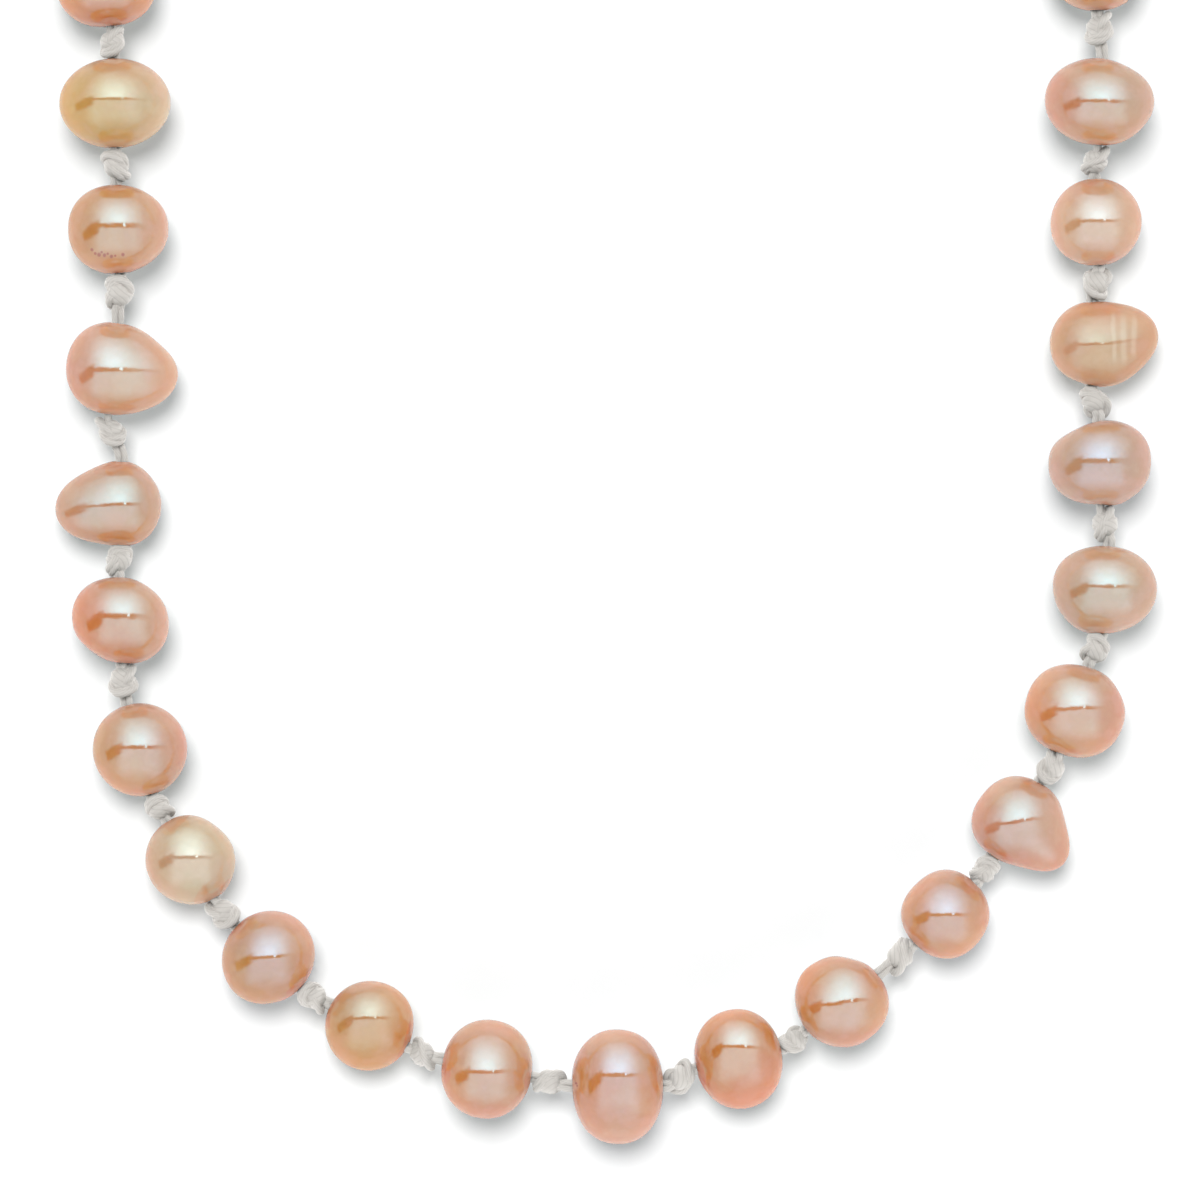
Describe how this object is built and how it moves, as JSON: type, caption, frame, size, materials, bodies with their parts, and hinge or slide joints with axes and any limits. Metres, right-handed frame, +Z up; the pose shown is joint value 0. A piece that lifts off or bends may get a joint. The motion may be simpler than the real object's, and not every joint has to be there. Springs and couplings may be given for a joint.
{
  "type": "pearl necklace",
  "caption": "Knotted strand of baroque freshwater button pearls on doubled silk, lying open in a U, with a lobster clasp on one end and a closed ring on the other.",
  "frame": {"origin": "under the middle of the whole necklace's box, on the surface that it lies on", "axes": "+Z up from the surface, +Y from the lowest pearl of the U towards the two ends, +X to the right when seen from above with the ends at the top"},
  "size_m": [0.1205, 0.1815, 0.0076],
  "materials": {
    "nacre_peach": "polished nacre, peach",
    "nacre_pink": "polished nacre, pink",
    "nacre_beige": "polished nacre, golden beige",
    "nacre_cream": "polished nacre, cream",
    "silk": "twisted silk, off-white",
    "gold": "polished gold plating",
    "spring_steel": "bare spring steel"
  },
  "bodies": {
    "pearl_centre": {"pearl_centre": "nacre_peach", "silk_centre": "silk"},
    "pearl_left_01": {"pearl_left_01": "nacre_pink", "silk_left_01": "silk"},
    "pearl_left_02": {"pearl_left_02": "nacre_beige", "silk_left_02": "silk"},
    "pearl_left_03": {"pearl_left_03": "nacre_pink", "silk_left_03": "silk"},
    "pearl_left_04": {"pearl_left_04": "nacre_cream", "silk_left_04": "silk"},
    "pearl_left_05": {"pearl_left_05": "nacre_pink", "silk_left_05": "silk"},
    "pearl_left_06": {"pearl_left_06": "nacre_peach", "silk_left_06": "silk"},
    "pearl_left_07": {"pearl_left_07": "nacre_beige", "silk_left_07": "silk"},
    "pearl_left_08": {"pearl_left_08": "nacre_pink", "silk_left_08": "silk"},
    "pearl_left_09": {"pearl_left_09": "nacre_peach", "silk_left_09": "silk"},
    "pearls_left_lower": {"pearls_left_lower": "nacre_peach", "silk_left_lower": "silk"},
    "pearls_left_middle": {"pearls_left_middle": "nacre_peach", "silk_left_middle": "silk"},
    "pearls_left_upper": {"pearls_left_upper": "nacre_peach", "silk_left_upper": "silk", "french_wire_left": "gold"},
    "pearl_right_01": {"pearl_right_01": "nacre_peach", "silk_right_01": "silk"},
    "pearl_right_02": {"pearl_right_02": "nacre_peach", "silk_right_02": "silk"},
    "pearl_right_03": {"pearl_right_03": "nacre_beige", "silk_right_03": "silk"},
    "pearl_right_04": {"pearl_right_04": "nacre_pink", "silk_right_04": "silk"},
    "pearl_right_05": {"pearl_right_05": "nacre_peach", "silk_right_05": "silk"},
    "pearl_right_06": {"pearl_right_06": "nacre_beige", "silk_right_06": "silk"},
    "pearl_right_07": {"pearl_right_07": "nacre_pink", "silk_right_07": "silk"},
    "pearl_right_08": {"pearl_right_08": "nacre_beige", "silk_right_08": "silk"},
    "pearl_right_09": {"pearl_right_09": "nacre_cream", "silk_right_09": "silk"},
    "pearls_right_lower": {"pearls_right_lower": "nacre_peach", "silk_right_lower": "silk"},
    "pearls_right_middle": {"pearls_right_middle": "nacre_peach", "silk_right_middle": "silk"},
    "pearls_right_upper": {"pearls_right_upper": "nacre_peach", "silk_right_upper": "silk", "french_wire_right": "gold"},
    "clasp": {"clasp_body": "gold", "clasp_rivet": "gold", "clasp_spring": "spring_steel"},
    "clasp_lever": {"clasp_lever": "gold"},
    "end_ring": {"end_ring": "gold"}
  },
  "joints": [
    {"name": "bend_left_01", "type": "hinge", "parent": "pearl_centre", "child": "pearl_left_01", "pos_m": [-0.00358, -0.08629, 0.00337], "axis": [0, 0, 1], "range_deg": [-30, 30]},
    {"name": "bend_left_02", "type": "hinge", "parent": "pearl_left_01", "child": "pearl_left_02", "pos_m": [-0.01194, -0.08432, 0.003], "axis": [0, 0, 1], "range_deg": [-30, 30]},
    {"name": "bend_left_03", "type": "hinge", "parent": "pearl_left_02", "child": "pearl_left_03", "pos_m": [-0.01904, -0.08038, 0.0032], "axis": [0, 0, 1], "range_deg": [-30, 30]},
    {"name": "bend_left_04", "type": "hinge", "parent": "pearl_left_03", "child": "pearl_left_04", "pos_m": [-0.02485, -0.07437, 0.003], "axis": [0, 0, -1], "range_deg": [-30, 30]},
    {"name": "bend_left_05", "type": "hinge", "parent": "pearl_left_04", "child": "pearl_left_05", "pos_m": [-0.02899, -0.06752, 0.0032], "axis": [0, 0, -1], "range_deg": [-30, 30]},
    {"name": "bend_left_06", "type": "hinge", "parent": "pearl_left_05", "child": "pearl_left_06", "pos_m": [-0.031, -0.05865, 0.00325], "axis": [0, 0, -1], "range_deg": [-30, 30]},
    {"name": "bend_left_07", "type": "hinge", "parent": "pearl_left_06", "child": "pearl_left_07", "pos_m": [-0.03115, -0.0508, 0.00275], "axis": [0, 0, 1], "range_deg": [-30, 30]},
    {"name": "bend_left_08", "type": "hinge", "parent": "pearl_left_07", "child": "pearl_left_08", "pos_m": [-0.03192, -0.04213, 0.0031], "axis": [0, 0, 1], "range_deg": [-30, 30]},
    {"name": "bend_left_09", "type": "hinge", "parent": "pearl_left_08", "child": "pearl_left_09", "pos_m": [-0.0311, -0.0328, 0.00337], "axis": [0, 0, 1], "range_deg": [-30, 30]},
    {"name": "bend_left_lower", "type": "hinge", "parent": "pearl_left_09", "child": "pearls_left_lower", "pos_m": [-0.03135, -0.02438, 0.0037], "axis": [0, 0, -1], "range_deg": [-30, 30]},
    {"name": "bend_left_middle", "type": "hinge", "parent": "pearls_left_lower", "child": "pearls_left_middle", "pos_m": [-0.03624, 0.01634, 0.00314], "axis": [0, 0, -1], "range_deg": [-30, 30]},
    {"name": "bend_left_upper", "type": "hinge", "parent": "pearls_left_middle", "child": "pearls_left_upper", "pos_m": [-0.04777, 0.04728, 0.00337], "axis": [0, 0, -1], "range_deg": [-30, 30]},
    {"name": "bend_right_01", "type": "hinge", "parent": "pearl_centre", "child": "pearl_right_01", "pos_m": [0.00723, -0.08576, 0.0033], "axis": [0, 0, 1], "range_deg": [-30, 30]},
    {"name": "bend_right_02", "type": "hinge", "parent": "pearl_right_01", "child": "pearl_right_02", "pos_m": [0.0146, -0.08318, 0.00308], "axis": [0, 0, 1], "range_deg": [-30, 30]},
    {"name": "bend_right_03", "type": "hinge", "parent": "pearl_right_02", "child": "pearl_right_03", "pos_m": [0.02183, -0.0774, 0.00305], "axis": [0, 0, 1], "range_deg": [-30, 30]},
    {"name": "bend_right_04", "type": "hinge", "parent": "pearl_right_03", "child": "pearl_right_04", "pos_m": [0.02701, -0.07155, 0.00295], "axis": [0, 0, -1], "range_deg": [-30, 30]},
    {"name": "bend_right_05", "type": "hinge", "parent": "pearl_right_04", "child": "pearl_right_05", "pos_m": [0.03157, -0.06475, 0.0033], "axis": [0, 0, -1], "range_deg": [-30, 30]},
    {"name": "bend_right_06", "type": "hinge", "parent": "pearl_right_05", "child": "pearl_right_06", "pos_m": [0.03435, -0.05669, 0.00343], "axis": [0, 0, -1], "range_deg": [-30, 30]},
    {"name": "bend_right_07", "type": "hinge", "parent": "pearl_right_06", "child": "pearl_right_07", "pos_m": [0.03425, -0.04813, 0.00345], "axis": [0, 0, 1], "range_deg": [-30, 30]},
    {"name": "bend_right_08", "type": "hinge", "parent": "pearl_right_07", "child": "pearl_right_08", "pos_m": [0.0337, -0.0402, 0.0028], "axis": [0, 0, 1], "range_deg": [-30, 30]},
    {"name": "bend_right_09", "type": "hinge", "parent": "pearl_right_08", "child": "pearl_right_09", "pos_m": [0.03415, -0.03222, 0.00302], "axis": [0, 0, 1], "range_deg": [-30, 30]},
    {"name": "bend_right_lower", "type": "hinge", "parent": "pearl_right_09", "child": "pearls_right_lower", "pos_m": [0.03405, -0.02422, 0.00365], "axis": [0, 0, -1], "range_deg": [-30, 30]},
    {"name": "bend_right_middle", "type": "hinge", "parent": "pearls_right_lower", "child": "pearls_right_middle", "pos_m": [0.0378, 0.01734, 0.00333], "axis": [0, 0, -1], "range_deg": [-30, 30]},
    {"name": "bend_right_upper", "type": "hinge", "parent": "pearls_right_middle", "child": "pearls_right_upper", "pos_m": [0.04933, 0.04826, 0.00319], "axis": [0, 0, -1], "range_deg": [-30, 30]},
    {"name": "clasp_swing", "type": "hinge", "parent": "pearls_left_upper", "child": "clasp", "pos_m": [-0.05614, 0.08006, 0.0015], "axis": [0, 0, 1], "range_deg": [-60, 60]},
    {"name": "lever_press", "type": "hinge", "parent": "clasp", "child": "clasp_lever", "pos_m": [-0.05541, 0.08441, 0.0015], "axis": [0, 0, 1], "range_deg": [0, 28], "stiffness_Nm_per_rad": 0.0002, "springref_deg": -11.46},
    {"name": "ring_swing", "type": "hinge", "parent": "pearls_right_upper", "child": "end_ring", "pos_m": [0.0577, 0.08107, 0.0015], "axis": [0, 0, 1], "range_deg": [-45, 45]}
  ]
}
